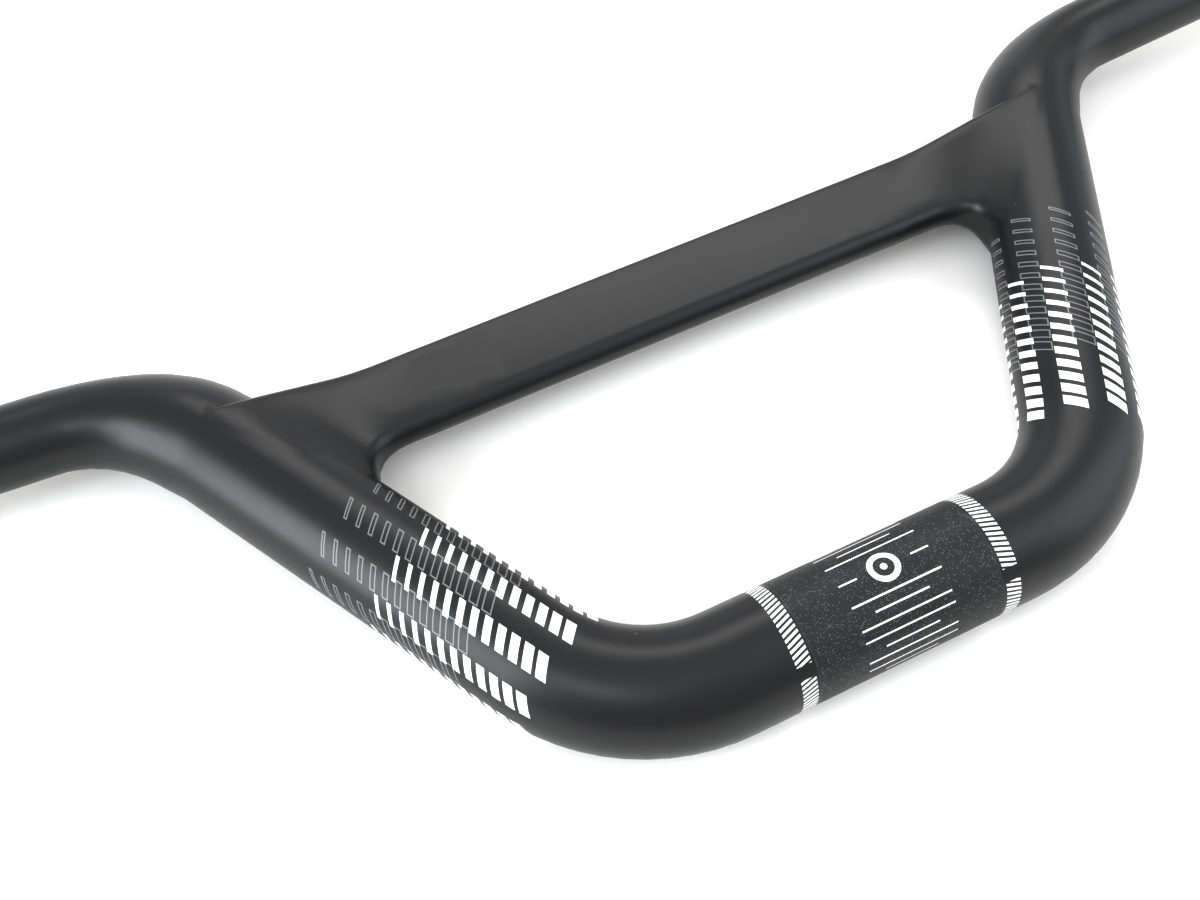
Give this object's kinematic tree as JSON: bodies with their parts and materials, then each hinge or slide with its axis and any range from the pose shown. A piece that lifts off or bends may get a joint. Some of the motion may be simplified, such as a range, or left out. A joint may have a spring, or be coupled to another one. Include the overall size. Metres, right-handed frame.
{
  "type": "bicycle handlebar",
  "caption": "Rigid moulded bicycle handlebar: round clamp tube, splayed uprights tied by a flat flared crossbar, and upper bends that taper to straight, swept-back grip ends.",
  "frame": {"origin": "centre of the clamp tube, on its axis and midway between its ends", "axes": "+X along the clamp tube to the rider's right as seen in the picture, +Y up the rise towards the crossbar, +Z towards the rider's side, square to the plane of the uprights"},
  "size_m": [0.713, 0.1674, 0.0478],
  "materials": {
    "bar_lacquer": "satin black lacquer over composite laminate"
  },
  "bodies": {
    "root": {"handlebar": "bar_lacquer"}
  },
  "joints": []
}
